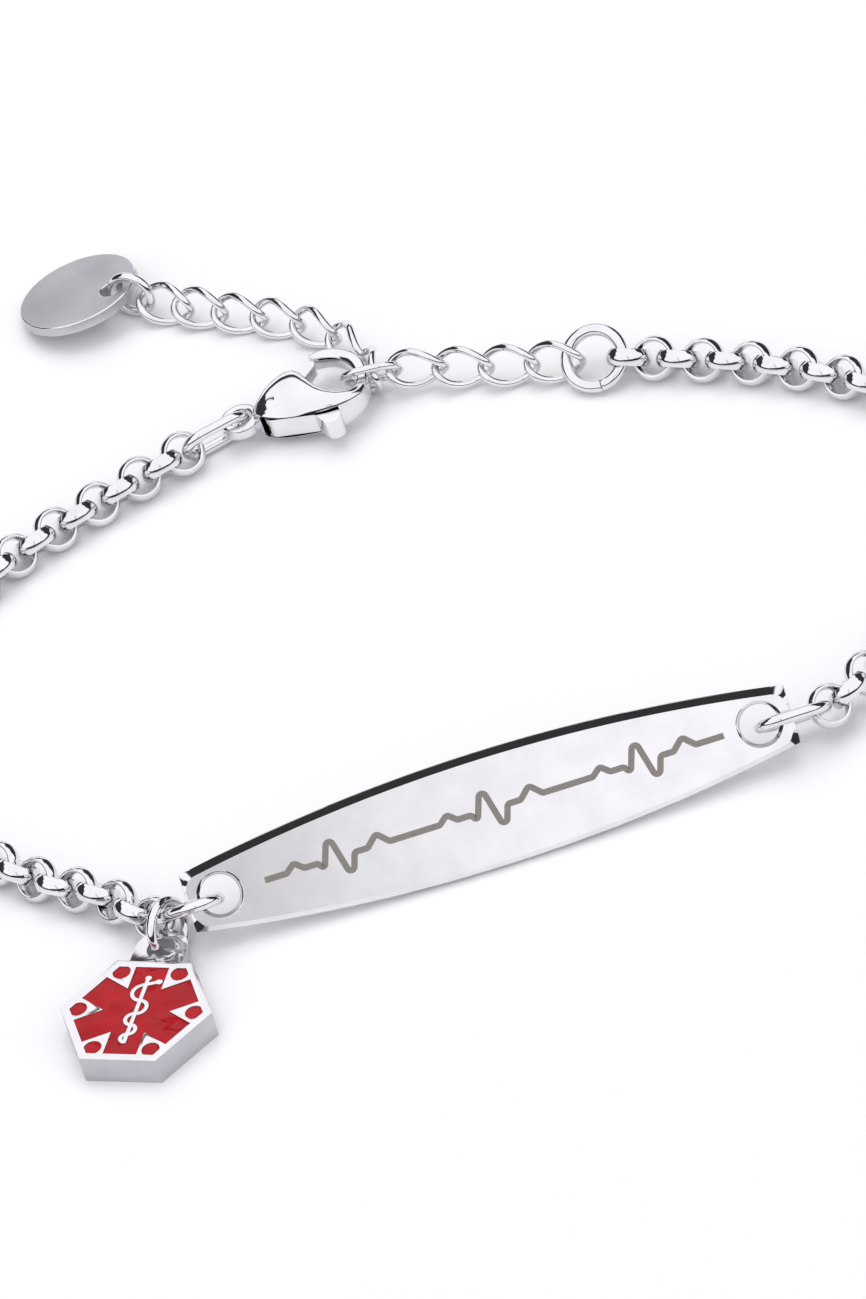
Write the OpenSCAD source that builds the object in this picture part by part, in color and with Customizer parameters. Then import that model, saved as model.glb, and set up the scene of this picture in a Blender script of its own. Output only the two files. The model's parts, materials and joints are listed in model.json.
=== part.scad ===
// Medical alert bracelet, lying closed on a flat surface as it is laid down to be photographed.
// A polished lens-shaped identity plate hangs between two belcher chains. One chain ends in a
// lobster clasp, the other in a ring with an extension chain that carries a round tag.
// A small hexagonal enamel charm hangs from the plate's left link.

/* [Identity plate] */
// Length of the plate
plate_len = 41.1; // [36:0.1:46]
// Width at the middle
plate_mid_w = 7.6; // [6.5:0.1:9]
// Width at each end
plate_end_w = 3.9; // [3.6:0.1:4.6]
// Thickness
plate_t = 1.0; // [0.8:0.05:1.2]
// Bevel round both faces
plate_bevel = 0.25; // [0.1:0.05:0.35]
// Diameter of the hole at each end
plate_hole_d = 2.6; // [2.5:0.05:2.7]
// From the end of the plate to the centre of its hole
plate_hole_in = 2.2; // [2:0.05:2.6]
// Lean of the face from lying flat, in degrees
plate_lean = 52; // [40:1:60]

/* [Oval links] */
// Length over the outside of the links that hold the plate
oval_len = 5.4; // [5.3:0.1:5.6]
// Width over the outside of those links
oval_w = 3.9; // [3.7:0.1:4.2]
// Thickness of their wire
oval_wire = 0.8; // [0.7:0.05:0.8]

/* [Belcher chain] */
// Outside diameter of a round link
rolo_od = 3.06; // [3.02:0.02:3.1]
// Radial thickness of its band
rolo_wall = 0.46; // [0.38:0.02:0.46]
// Width of its band
rolo_band = 1.15; // [0.95:0.05:1.15]
// Radius of the domed outside of the band
rolo_dome = 0.8; // [0.75:0.05:1.2]
// Links between the clasp and the plate
left_links = 38; // [36:2:40]
// Links between the end ring and the plate
right_links = 33; // [31:2:33]

/* [End ring] */
// Outside diameter of the ring that the clasp side hooks to
ring_od = 4.72; // [4.6:0.02:4.9]
// Thickness of its wire
ring_wire = 0.86; // [0.8:0.02:0.9]
// Lean of the ring from lying flat, in degrees
ring_lean = 34.5; // [33:0.1:35]
// Width of the split in the ring
ring_split = 0.06; // [0.04:0.01:0.1]

/* [Extension chain] */
// Length over the outside of a twisted link
twist_len = 4.35; // [4.2:0.05:4.45]
// Width over the outside of a twisted link
twist_w = 3.0; // [2.8:0.05:3.1]
// Thickness of its wire
twist_wire = 0.52; // [0.44:0.02:0.52]
// Turn from one end of a link to the other, in degrees
twist_turn = 84; // [70:2:90]

/* [Lobster clasp] */
// Length from the eye to the front of the hook
clasp_len = 10.3; // [9.9:0.1:10.5]
// Thickness at the belly
clasp_t = 2.8; // [2.6:0.1:3]
// Outside diameter of the eye
eye_od = 2.8; // [2.7:0.1:2.9]
// Hole in the eye
eye_hole_d = 1.6; // [1.5:0.05:1.7]
// Thickness of the eye
eye_t = 1.0; // [0.9:0.05:1.1]
// Thickness of the trigger lever along the clasp's edge
lever_t = 1.5; // [1.3:0.05:1.6]
// Thickness of its arm to the hook
lever_arm_t = 0.9; // [0.7:0.05:1]
// Gap round the lever in its slot
lever_gap = 0.12; // [0.08:0.01:0.16]
// Diameter of the pin that the lever turns on
pin_d = 0.6; // [0.5:0.05:0.7]
// Gap between the pin and its holes
pin_gap = 0.04; // [0.03:0.01:0.06]
// How far the lever swings, in degrees
lever_swing = 18; // [12:1:20]

/* [Clasp link] */
// Length over the outside of the link between chain and clasp
clasp_link_len = 5.2; // [5:0.1:5.4]
// Width over the outside of that link
clasp_link_w = 3.3; // [3.2:0.1:3.5]
// Thickness of its wire
clasp_link_wire = 0.74; // [0.7:0.02:0.76]

/* [Charm] */
// Width of the hexagon across its flats
charm_af = 9.1; // [8.8:0.1:9.6]
// Thickness of the charm
charm_t = 2.0; // [1.6:0.1:2.4]
// Bare rim round the enamel
charm_rim = 0.55; // [0.4:0.05:0.7]
// Width of an arm of the star
star_arm = 2.3; // [2.1:0.1:2.4]
// Diameter of a corner cell
cell_d = 1.2; // [1:0.1:1.3]
// Depth of the enamel cells
cell_depth = 0.45; // [0.3:0.05:0.6]
// Width of the raised line of the serpent
serpent_line = 0.28; // [0.2:0.02:0.3]
// Gap between enamel and metal
enamel_gap = 0.02; // [0.01:0.01:0.04]
// Outside diameter of the bail
bail_od = 3.6; // [3.4:0.1:3.8]
// Hole in the bail
bail_hole_d = 1.9; // [1.8:0.05:2]
// Thickness of the bail
bail_t = 0.9; // [0.8:0.05:1]
// Outside diameter of the ring that carries the charm
charm_ring_od = 4.3; // [4.2:0.05:4.5]
// Thickness of its wire
charm_ring_wire = 0.68; // [0.6:0.02:0.7]

/* [Tag] */
// Diameter of the round tag
tag_d = 8.25; // [7.8:0.05:8.6]
// Thickness of the tag
tag_t = 0.7; // [0.5:0.05:0.9]
// Hole in the tag
tag_hole_d = 1.6; // [1.5:0.05:1.8]
// From the rim of the tag to the edge of its hole
tag_hole_in = 0.6; // [0.5:0.05:0.8]
// Outside diameter of the ring that carries the tag
tag_ring_od = 3.5; // [3.4:0.05:3.7]
// Thickness of its wire
tag_ring_wire = 0.62; // [0.5:0.02:0.66]

/* [Hidden] */

steel = [0.82, 0.82, 0.84];
satin_steel = [0.72, 0.72, 0.74];
enamel_red = [0.72, 0.05, 0.08];

// Few chosen points of the chains' routes, at the height of a link's centre above its rest. The last point
// of each is given from the middle of the hole in the plate's end.
left_route = [[-18, 22.6, 0], [-25.3, 19.5, 0], [-31.5, 14.8, 0], [-35.3, 8, 0], [-36, 0.5, 0],
    [-33.9, -5, 0], [-31.1, -8.9, 0], [-28.3, -12.3, 0]];
left_last = [-7.3, 5.05, 0.3];
right_route = [[18.05, 20.2, 0.25], [20.2, 19.3, 0.05], [25.4, 16.4, 0], [30.2, 12.9, 0], [33.8, 9.2, 0],
    [36.8, 4.2, 0], [37.6, -1.4, 0], [36.2, -6.8, 0], [32.6, -11.4, 0.1]];
right_last = [10.15, 4.4, 1.15];

// Twisted links of the extension, from the end ring to the clasp: centre, and roll in degrees
ROLL = 3;
extension_route = [[13.35, 22.05, 1.6, 67], [10.4, 23.15, 1.55, 65], [7.5, 24.25, 1.65, 71],
    [4.6, 25.25, 1.9, 81]];
// Twisted links of the tail, from the hooked link to the tag
tail_route = [[1.45, 27.35, 1.3, 57], [0.7, 30.1, 1.45, 69], [-1, 32.65, 1.55, 73], [-3.2, 34.8, 1.45, 72],
    [-5.5, 36.45, 1.45, 73], [-7.9, 38.2, 1.5, 64], [-10, 39.8, 1.4, 58]];
// Link held by the clasp's hook: its centre, how far that is past the hook's end, its place across as a
// share of clasp_reach, and its turn and roll in degrees
hook_spot = [1.6, 25.95, 2.0];
past_hook = 0.08;
hook_share = 0.203;
hooked_turn = 0.5;
hooked_roll = 31.5;

// How a plate's link lies: its inner end past the hole's centre, up the plate and out of its face, its
// length turned back and down and its face rolled, in degrees, and the gap from its wire's middle to the
// middle of the last round link's band
PAST = 0;
UP = 1;
OUT = 2;
BACK = 3;
DOWN = 4;
FACE = 5;
HOLD = 6;
left_lie = [-0.4, -0.2, 0.6, 26.5, 21.5, -1.5, 0.36];
right_lie = [0, -0.2, 0.25, 13.5, 12, -7, 0.35];

// Vector helpers
function unit(v) = v / norm(v);
function across(v, n) = unit(v - (v * n) * n);
function mix(a, b, t) = a + (b - a) * t;
function last(list) = list[len(list) - 1];
function column(list, i) = [for (p = list) p[i]];

// A smooth curve through the route points, with one guide point before the first and after the last
function spline(a, b, c, d, t) =
    0.5 * (2 * b + (c - a) * t + (2 * a - 5 * b + 4 * c - d) * t * t + (3 * b - 3 * c + d - a) * t * t * t);
function curve(pts, guide) =
    let (p = concat([2 * pts[0] - pts[1]], pts, [guide]))
    concat(
        [for (i = [1:len(p) - 3]) for (t = [0:0.125:0.875]) spline(p[i - 1], p[i], p[i + 1], p[i + 2], t)],
        [last(pts)]
    );
function run_lengths(c) =
    [for (i = 0, s = 0; i < len(c); s = s + (i + 1 < len(c) ? norm(c[i + 1] - c[i]) : 0), i = i + 1) s];
function along(c, runs, s) =
    [for (axis = [0:2]) lookup(s, [for (i = [0:len(c) - 1]) [runs[i], c[i][axis]]])];

// Puts children with their own x along x_dir and their own z as near to z_dir as that allows
module placed(pos, x_dir, z_dir) {
    x = unit(x_dir);
    z = across(z_dir, x);
    y = cross(z, x);
    multmatrix([[x[0], y[0], z[0], pos[0]], [x[1], y[1], z[1], pos[1]], [x[2], y[2], z[2], pos[2]]])
        children();
}

// A closed loop of wire swept along points that lie round the origin
module wire_loop(points, wire, sides) {
    n = len(points);
    rings = [for (i = [0:n - 1])
        let (
            ahead = unit(points[(i + 1) % n] - points[(i + n - 1) % n]),
            out = across(points[i], ahead),
            up = cross(ahead, out)
        )
        for (k = [0:sides - 1])
            points[i] + wire / 2 * (out * cos(360 * (k + 0.5) / sides) + up * sin(360 * (k + 0.5) / sides))];
    faces = [for (i = [0:n - 1]) for (k = [0:sides - 1])
        let (a = i * sides, b = ((i + 1) % n) * sides, l = (k + 1) % sides)
        each [[a + k, b + k, b + l], [a + k, b + l, a + l]]];
    polyhedron(points = rings, faces = faces, convexity = 4);
}

// Centreline of an oval link: two straight legs and two half rounds
function oval_points(len, w, wire, steps) =
    let (r = (w - wire) / 2, half = (len - w) / 2)
    [for (side = [0, 1]) for (k = [0:steps])
        let (a = side * 180 - 90 + 180 * k / steps)
        [(side == 0 ? half : -half) + r * cos(a), r * sin(a), 0]];

module oval_link(len, w, wire) {
    wire_loop(oval_points(len, w, wire, 10), wire, 12);
}

// Centreline of a twisted link, turned more and more about its length
function twisted_points(len, w, wire, turn, steps) =
    let (a = (len - wire) / 2, b = (w - wire) / 2)
    [for (k = [0:steps - 1])
        let (t = 360 * k / steps, x = a * cos(t), y = b * sin(t), roll = turn / 2 * cos(t))
        [x, y * cos(roll), y * sin(roll)]];

module twisted_link() {
    wire_loop(twisted_points(twist_len, twist_w, twist_wire, twist_turn, 16), twist_wire, 6);
}

// A plain round wire ring
module wire_ring(od, wire, split) {
    gap = split > 0 ? 2 * asin(split / od) : 0;
    rotate_extrude(angle = 360 - gap, start = gap / 2, $fn = 64)
        translate([(od - wire) / 2, 0])
            circle(d = wire, $fn = 32);
}

// One round belcher link: a band with a domed outside and a slightly domed inside
rolo_ro = rolo_od / 2;
rolo_ri = rolo_ro - rolo_wall;
rolo_inner_dome = 2;
module rolo_link() {
    rotate_extrude($fn = 64)
        intersection() {
            translate([rolo_ri, -rolo_band / 2])
                square([rolo_wall, rolo_band]);
            translate([rolo_ro - rolo_dome, 0])
                circle(r = rolo_dome, $fn = 64);
            translate([rolo_ri + rolo_inner_dome, 0])
                circle(r = rolo_inner_dome, $fn = 96);
        }
}

// Height of a link's centre when the links lie alternately at 45 degrees to each side
rest_gap = 0.012;
rolo_rest = (rolo_ro - rolo_dome) * sin(45) + rolo_dome + rest_gap;
rolo_lift = [0, 0, rolo_rest];

// Links at even spaces along a curve, each turned a quarter from the one before
module rolo_run(c, count) {
    runs = run_lengths(c);
    total = last(runs);
    for (i = [0:count - 1]) {
        s = total * i / (count - 1);
        reach = rolo_ro / 2;
        ahead = unit(along(c, runs, min(total, s + reach)) - along(c, runs, max(0, s - reach)));
        side = across(cross([0, 0, 1], ahead), ahead);
        up = cross(ahead, side);
        placed(along(c, runs, s), ahead, up + (i % 2 == 0 ? 1 : -1) * side)
            rolo_link();
    }
}

// Identity plate, in its own frame: length along x, face towards z
plate_taper = plate_mid_w - plate_end_w;
plate_arc_r = (pow(plate_len, 2) + pow(plate_taper, 2)) / 4 / plate_taper;
plate_hole_x = plate_len / 2 - plate_hole_in;
plate_height = plate_mid_w / 2 * sin(plate_lean) + plate_t / 2 * cos(plate_lean)
    - plate_bevel * min(sin(plate_lean), cos(plate_lean));
plate_pos = [0.4, -20.35, plate_height];
plate_up = [0, cos(plate_lean), sin(plate_lean)];
plate_face = [0, -sin(plate_lean), cos(plate_lean)];

// A great disc with both rims bevelled, whose edge is one long side of the plate
module bevelled_disc(r) {
    rotate_extrude($fn = 720)
        polygon([[0, -plate_t / 2], [r - plate_bevel, -plate_t / 2], [r, plate_bevel - plate_t / 2],
            [r, plate_t / 2 - plate_bevel], [r - plate_bevel, plate_t / 2], [0, plate_t / 2]]);
}

module plate_bar() {
    rotate([90, 0, 90])
        translate([0, 0, -plate_len / 2])
            linear_extrude(plate_len)
                square([plate_mid_w + 1, plate_t + 1], center = true);
}

module plate_blank() {
    bevel_side = plate_bevel * sqrt(2);
    difference() {
        intersection() {
            translate([0, plate_mid_w / 2 - plate_arc_r, 0])
                bevelled_disc(plate_arc_r);
            translate([0, plate_arc_r - plate_mid_w / 2, 0])
                bevelled_disc(plate_arc_r);
            plate_bar();
        }
        for (end = [-1, 1])
            for (face = [-1, 1])
                translate([end * plate_len / 2, 0, face * plate_t / 2])
                    rotate([0, 45, 0])
                        cube([bevel_side, plate_mid_w, bevel_side], center = true);
    }
}

module id_plate() {
    color(steel)
        placed(plate_pos, [1, 0, 0], plate_face)
            difference() {
                plate_blank();
                for (end = [-1, 1])
                    translate([end * plate_hole_x, 0, -plate_t])
                        cylinder(h = 2 * plate_t, d = plate_hole_d, $fn = 64);
            }
}

// The oval links: one end passes the plate's hole, the other the last link of a chain
function hole_centre(end) = plate_pos + [end * plate_hole_x, 0, 0];
function lie(end) = end < 0 ? left_lie : right_lie;
function oval_dir(end) =
    let (back = lie(end)[BACK], down = lie(end)[DOWN])
    [end * cos(back) * cos(down), sin(back) * cos(down), -sin(down)];
function oval_inner(end) =
    hole_centre(end) + [lie(end)[PAST], 0, 0] + lie(end)[UP] * plate_up + lie(end)[OUT] * plate_face;
function oval_outer(end) = oval_inner(end) + (oval_len - oval_wire) * oval_dir(end);
function chain_end(end) = oval_outer(end) + lie(end)[HOLD] * oval_dir(end);
function oval_side(end) =
    let (roll = lie(end)[FACE])
    across(plate_up * sin(roll) - plate_face * cos(roll), oval_dir(end));

function oval_face(end) = cross(oval_dir(end), oval_side(end));

module plate_link(end) {
    color(steel)
        placed((oval_inner(end) + oval_outer(end)) / 2, oval_dir(end), oval_face(end))
            oval_link(oval_len, oval_w, oval_wire);
}

module plate_link_left() {
    plate_link(-1);
}

module plate_link_right() {
    plate_link(1);
}

// Lobster clasp, in its own frame: eye at the origin, hook towards x, opening towards y. The hooked link
// gives its place, and the chain that starts at its eye follows.
clasp_turn = -10.5;
clasp_dip = -2.9;
clasp_x = [cos(clasp_turn) * cos(clasp_dip), sin(clasp_turn) * cos(clasp_dip), -sin(clasp_dip)];
clasp_z = across([0, 0, 1], clasp_x);
clasp_y = cross(clasp_z, clasp_x);
clasp_reach = clasp_len - eye_od / 2;
clasp_pos = hook_spot - (clasp_reach + past_hook) * clasp_x - hook_share * clasp_reach * clasp_y;
function on_clasp(p) = clasp_pos + p[0] * clasp_x + p[1] * clasp_y + p[2] * clasp_z;

// The oval link that stands in the clasp's eye, and the first round link that it holds
link_dir = unit([-0.962, -0.273, -0.007]);
link_in = 0.29;
link_hold = 0.31;
link_start = clasp_pos - link_in * link_dir;
first_round = link_start + (clasp_link_len - clasp_link_wire + link_hold) * link_dir;
link_tip = -25;
link_level = unit(cross(link_dir, [0, 0, 1]));
link_normal = cos(link_tip) * link_level + sin(link_tip) * cross(link_dir, link_level);

// The two belcher chains
guide_share = 0.6;
function by_hole(end, p) = [hole_centre(end)[0] + p[0], hole_centre(end)[1] + p[1], p[2]];
function chain_curve(start, route, near_plate, end) =
    let (
        rests = concat(route, [by_hole(end, near_plate)]),
        guide = mix(chain_end(end), hole_centre(end), guide_share)
    )
    curve(concat(start, [for (p = rests) p + rolo_lift], [chain_end(end)]), guide);
left_curve = chain_curve([first_round], left_route, left_last, -1);
right_curve = chain_curve([], right_route, right_last, 1);

module rolo_chain_left() {
    color(steel)
        rolo_run(left_curve, left_links);
}

module rolo_chain_right() {
    color(steel)
        rolo_run(right_curve, right_links);
}

// End ring, tilted up on the first link of the right chain, its split to the front
ring_pos = [15.9, 21.05, 1.7];
ring_turn = -24;
ring_face = [sin(ring_lean) * sin(ring_turn), -sin(ring_lean) * cos(ring_turn), cos(ring_lean)];

module end_ring() {
    color(steel)
        placed(ring_pos, across([-0.15, -1, 0], ring_face), ring_face)
            wire_ring(ring_od, ring_wire, ring_split);
}

// Ribs from the neck round to the tip of the hook, all but the last number as shares of clasp_reach:
// x and y of the outer edge, x and y of the inner edge, half the thickness as a share of clasp_t
clasp_ribs = [
    [0.112, -0.070, 0.112, 0.070, 0.200], [0.156, -0.110, 0.151, 0.130, 0.300],
    [0.224, -0.150, 0.212, 0.226, 0.410], [0.301, -0.178, 0.291, 0.312, 0.480],
    [0.380, -0.192, 0.370, 0.360, 0.500], [0.458, -0.200, 0.446, 0.350, 0.500],
    [0.536, -0.204, 0.525, 0.242, 0.500], [0.615, -0.206, 0.603, 0.122, 0.490],
    [0.700, -0.200, 0.681, 0.044, 0.470], [0.790, -0.180, 0.760, 0.001, 0.430],
    [0.875, -0.135, 0.828, -0.003, 0.370], [0.945, -0.065, 0.866, 0.033, 0.300],
    [0.988, 0.030, 0.880, 0.105, 0.250], [0.995, 0.135, 0.882, 0.183, 0.228],
    [0.980, 0.260, 0.864, 0.257, 0.225], [0.940, 0.370, 0.828, 0.329, 0.225],
    [0.868, 0.455, 0.776, 0.385, 0.230], [0.771, 0.515, 0.709, 0.425, 0.230],
    [0.676, 0.535, 0.643, 0.442, 0.230], [0.600, 0.527, 0.585, 0.441, 0.225],
    [0.545, 0.506, 0.545, 0.425, 0.215]];
section_sides = 16;

// A rounded-rectangle section, fuller than an ellipse, whose power would be 1, and squarer outside
fullness = 0.72;
edge_fullness = 0.5;
function full(v, power) = sign(v) * pow(abs(v), power);

module clasp_form() {
    n = len(clasp_ribs);
    rings = [for (rib = clasp_ribs)
        let (
            outer = clasp_reach * [rib[0], rib[1], 0],
            inner = clasp_reach * [rib[2], rib[3], 0],
            out = (outer - inner) / 2
        )
        for (k = [0:section_sides - 1])
            let (
                a = 360 * (k + 0.5) / section_sides,
                power = cos(a) > 0 ? edge_fullness : fullness
            )
            inner + out * (1 + full(cos(a), power)) + [0, 0, clasp_t * rib[4] * full(sin(a), power)]];
    sides = [for (i = [0:n - 2]) for (k = [0:section_sides - 1])
        let (a = i * section_sides, b = a + section_sides, l = (k + 1) % section_sides)
        each [[a + k, b + l, b + k], [a + k, a + l, b + l]]];
    caps = [[for (k = [0:section_sides - 1]) section_sides - 1 - k],
        [for (k = [0:section_sides - 1]) (n - 1) * section_sides + k]];
    polyhedron(points = rings, faces = concat(sides, caps), convexity = 6);
}

// The lever turns on a pin in the belly; its tip closes on an arc about that pin
pivot = [0.26 * clasp_reach, 0.0];
closing_r = 0.55 * clasp_reach;
tip_r = 0.052 * clasp_reach;
tip_angle = 56;
lever_tip = pivot + (closing_r - lever_gap - tip_r) * [cos(tip_angle), sin(tip_angle)];
lever_elbow = [0.425 * clasp_reach, 0.24 * clasp_reach];
lever_heel = [0.27 * clasp_reach, -0.1 * clasp_reach];
lever_knee = [0.64 * clasp_reach, -0.15 * clasp_reach];
lever_tab = [0.71 * clasp_reach, -0.25 * clasp_reach];
boss_r = 0.095 * clasp_reach;
arm_r = 0.06 * clasp_reach;
tab_r = 0.075 * clasp_reach;

// A straight bar with round ends
module bar(a, b, r) {
    translate(a)
        circle(r = r, $fn = 48);
    translate(b)
        circle(r = r, $fn = 48);
    translate(a)
        rotate(atan2(b[1] - a[1], b[0] - a[0]))
            translate([0, -r])
                square([norm(b - a), 2 * r]);
}

// The arm that closes on the hook
module arm_outline(extra) {
    bar(pivot, lever_elbow, arm_r + extra);
    bar(lever_elbow, lever_tip, tip_r + extra);
}

// The edge strip with the boss round the pin and the thumb tab
module strip_outline(extra) {
    translate(pivot)
        circle(r = boss_r + extra, $fn = 64);
    bar(pivot, lever_heel, arm_r + extra);
    bar(lever_heel, lever_knee, arm_r + extra);
    bar(lever_knee, lever_tab, tab_r + extra);
}

module turned_about_pivot(angle) {
    translate(pivot)
        rotate(angle)
            translate(-pivot)
                children();
}

module lever_slot() {
    swings = [0, -lever_swing / 2, -lever_swing];
    linear_extrude(lever_arm_t + 2 * lever_gap, center = true)
        for (angle = swings)
            turned_about_pivot(angle)
                arm_outline(lever_gap);
    linear_extrude(lever_t + 2 * lever_gap, center = true)
        for (angle = swings)
            turned_about_pivot(angle)
                strip_outline(lever_gap);
}

module pin_hole(d, h) {
    translate([pivot[0], pivot[1], -h / 2])
        cylinder(h = h, d = d, $fn = 48);
}

// What is cut off the tip of the hook, so that its end follows the lever's arc
module tip_trim() {
    tip_zone = 0.2 * clasp_reach;
    intersection() {
        pin_hole(2 * closing_r, 2 * clasp_t);
        translate([last(clasp_ribs)[0] * clasp_reach, last(clasp_ribs)[1] * clasp_reach, 0])
            cube([tip_zone, tip_zone, 2 * clasp_t], center = true);
    }
}

module clasp_eye() {
    difference() {
        translate([0, 0, -eye_t / 2])
            cylinder(h = eye_t, d = eye_od, $fn = 64);
        cylinder(h = 2 * eye_t, d = eye_hole_d, center = true, $fn = 64);
    }
}

module clasp_body() {
    color(steel)
        placed(clasp_pos, clasp_x, clasp_z) {
            difference() {
                union() {
                    clasp_form();
                    clasp_eye();
                }
                lever_slot();
                tip_trim();
                pin_hole(pin_d + 2 * pin_gap, 2 * clasp_t);
            }
        }
}

module clasp_lever() {
    color(steel)
        placed(clasp_pos, clasp_x, clasp_z)
            difference() {
                union() {
                    linear_extrude(lever_arm_t, center = true)
                        arm_outline(0);
                    linear_extrude(lever_t, center = true)
                        strip_outline(0);
                }
                pin_hole(pin_d + 2 * pin_gap, 2 * clasp_t);
            }
}

module clasp_pin() {
    pin_share = 0.84;
    color(steel)
        placed(clasp_pos, clasp_x, clasp_z)
            pin_hole(pin_d, pin_share * clasp_t);
}

module clasp_link() {
    color(steel)
        placed(link_start + (clasp_link_len - clasp_link_wire) / 2 * link_dir, link_dir, link_normal)
            oval_link(clasp_link_len, clasp_link_w, clasp_link_wire);
}

// Extension chain
hooked_x = cos(hooked_turn) * clasp_x + sin(hooked_turn) * clasp_y;
hooked_z = cos(hooked_roll) * cross(clasp_z, hooked_x) + sin(hooked_roll) * clasp_z;

module twisted_run(route, before, after) {
    n = len(route);
    spots = [for (p = route) [p[0], p[1], p[2]]];
    line = concat([before], spots, [after]);
    for (i = [0:n - 1])
        placed(spots[i], line[i] - line[i + 2], [0, 0, 1])
            rotate([route[i][ROLL], 0, 0])
                twisted_link();
}

module hooked_link() {
    placed(hook_spot, hooked_x, hooked_z)
        wire_loop(oval_points(twist_len, twist_w, twist_wire, 6), twist_wire, 6);
}

module extension_chain() {
    color(steel) {
        twisted_run(extension_route, ring_pos, hook_spot);
        hooked_link();
    }
}

module tail_chain() {
    color(steel)
        twisted_run(tail_route, hook_spot, tag_ring_pos);
}

// Round tag and its ring
tag_hole_pos = [-13.1, 41.9, 1.87];
tag_hole_r = tag_d / 2 - tag_hole_in - tag_hole_d / 2;
// The tag leans on its lower rim, away from the hole; the hole lies this share of its distance up the slope
hole_upslope = 0.9;
tag_downhill = [-0.49, 0.87];
tag_tilt = asin((tag_hole_pos[2] - tag_t / 2) / (tag_d / 2 + hole_upslope * tag_hole_r));
tag_normal = [tag_downhill[0] * sin(tag_tilt), tag_downhill[1] * sin(tag_tilt), cos(tag_tilt)];
tag_towards = across([0.81, -0.58, 0], tag_normal);
tag_pos = tag_hole_pos - tag_hole_r * tag_towards;
tag_ring_pos = [-11.95, 41.35, 1.75];
tag_ring_turn = -35.5;
tag_ring_tip = -5.5;
tag_ring_rise = 0.15;
tag_ring_x = unit([cos(tag_ring_turn), sin(tag_ring_turn), tag_ring_rise]);
tag_ring_level = unit(cross(tag_ring_x, [0, 0, 1]));
tag_ring_normal = cos(tag_ring_tip) * tag_ring_level + sin(tag_ring_tip) * cross(tag_ring_x, tag_ring_level);

module tag_disc() {
    color(satin_steel)
        placed(tag_pos, tag_towards, tag_normal)
            difference() {
                cylinder(h = tag_t, d = tag_d, center = true, $fn = 96);
                translate([tag_hole_r, 0, 0])
                    cylinder(h = 2 * tag_t, d = tag_hole_d, center = true, $fn = 48);
            }
}

module tag_ring() {
    color(steel)
        placed(tag_ring_pos, tag_ring_x, tag_ring_normal)
            wire_ring(tag_ring_od, tag_ring_wire, 0);
}

// Charm, in its own frame: bail towards x, enamel face towards z, back on z = 0
charm_from_hole = [-7.4, -7.1, 0];
charm_pos = by_hole(-1, charm_from_hole);
charm_dir = 62.5;
charm_x = [cos(charm_dir), sin(charm_dir), 0];
field_af = charm_af - 2 * charm_rim;
// The bail: its hole clear of the hexagon, its face below the charm's
bail_clear = 0.35;
bail_drop = 0.1;
bail_at = charm_af / 2 + bail_hole_d / 2 + bail_clear;

module hexagon(af) {
    rotate(30)
        circle(d = af / cos(30), $fn = 6);
}

module star(arm) {
    intersection() {
        hexagon(field_af);
        for (turn = [0, 60, 120])
            rotate(turn)
                square([charm_af, arm], center = true);
    }
}

module corner_cells(d) {
    intersection() {
        hexagon(field_af - (cell_d - d));
        for (turn = [30:60:330])
            rotate(turn)
                translate([(field_af / cos(30) - cell_d) / 2, 0])
                    circle(d = d, $fn = 32);
    }
}

// The raised staff with a serpent wound round it in half turns that taper from its head down to its tail
serpent_turns = 5;
staff_len = 0.66 * charm_af;
coil_top = 0.16 * charm_af;
coil_taper = 0.84;
coil_start = 0.4 * staff_len;
function coil_d(i) = coil_top * pow(coil_taper, i);
function coil_x(i) = i == 0 ? coil_start - coil_d(0) / 2 : coil_x(i - 1) - (coil_d(i - 1) + coil_d(i)) / 2;
serpent_neck = [coil_start, 0];
serpent_head = [0.45 * staff_len, -0.09 * charm_af];
module serpent(extra) {
    line = serpent_line + extra;
    translate([-staff_len / 2 - extra / 2, -line / 2])
        square([staff_len + extra, line]);
    translate([staff_len / 2, 0])
        circle(d = 1.6 * serpent_line + extra, $fn = 24);
    bar(serpent_neck, serpent_head, line / 2);
    translate(serpent_head)
        circle(d = 1.7 * serpent_line + extra, $fn = 24);
    for (i = [0:serpent_turns - 1])
        translate([coil_x(i), 0])
            half_turn(coil_d(i), line, i % 2 == 0 ? 0 : 180);
}

module half_turn(d, line, turn) {
    rotate(turn)
        intersection() {
            difference() {
                circle(d = d + line, $fn = 40);
                circle(d = d - line, $fn = 40);
            }
            translate([-d, 0])
                square([2 * d, d]);
        }
}

module charm_blank() {
    linear_extrude(charm_t)
        hexagon(charm_af);
    translate([0, 0, charm_t - bail_t - bail_drop])
        linear_extrude(bail_t)
            difference() {
                union() {
                    translate([bail_at, 0])
                        circle(d = bail_od, $fn = 64);
                    translate([0, -bail_od / 2])
                        square([bail_at, bail_od]);
                }
                translate([bail_at, 0])
                    circle(d = bail_hole_d, $fn = 48);
            }
}

module charm_body() {
    color(steel)
        placed(charm_pos, charm_x, [0, 0, 1])
            difference() {
                charm_blank();
                translate([0, 0, charm_t - cell_depth])
                    linear_extrude(2 * cell_depth)
                        difference() {
                            union() {
                                star(star_arm);
                                corner_cells(cell_d);
                            }
                            serpent(0);
                        }
            }
}

module charm_enamel() {
    enamel_sink = 0.06;
    color(enamel_red)
        placed(charm_pos, charm_x, [0, 0, 1])
            translate([0, 0, charm_t - cell_depth + enamel_gap])
                linear_extrude(cell_depth - enamel_gap - enamel_sink)
                    difference() {
                        union() {
                            intersection() {
                                star(star_arm - 2 * enamel_gap);
                                hexagon(field_af - 2 * enamel_gap);
                            }
                            corner_cells(cell_d - 2 * enamel_gap);
                        }
                        serpent(2 * enamel_gap);
                    }
}

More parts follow.
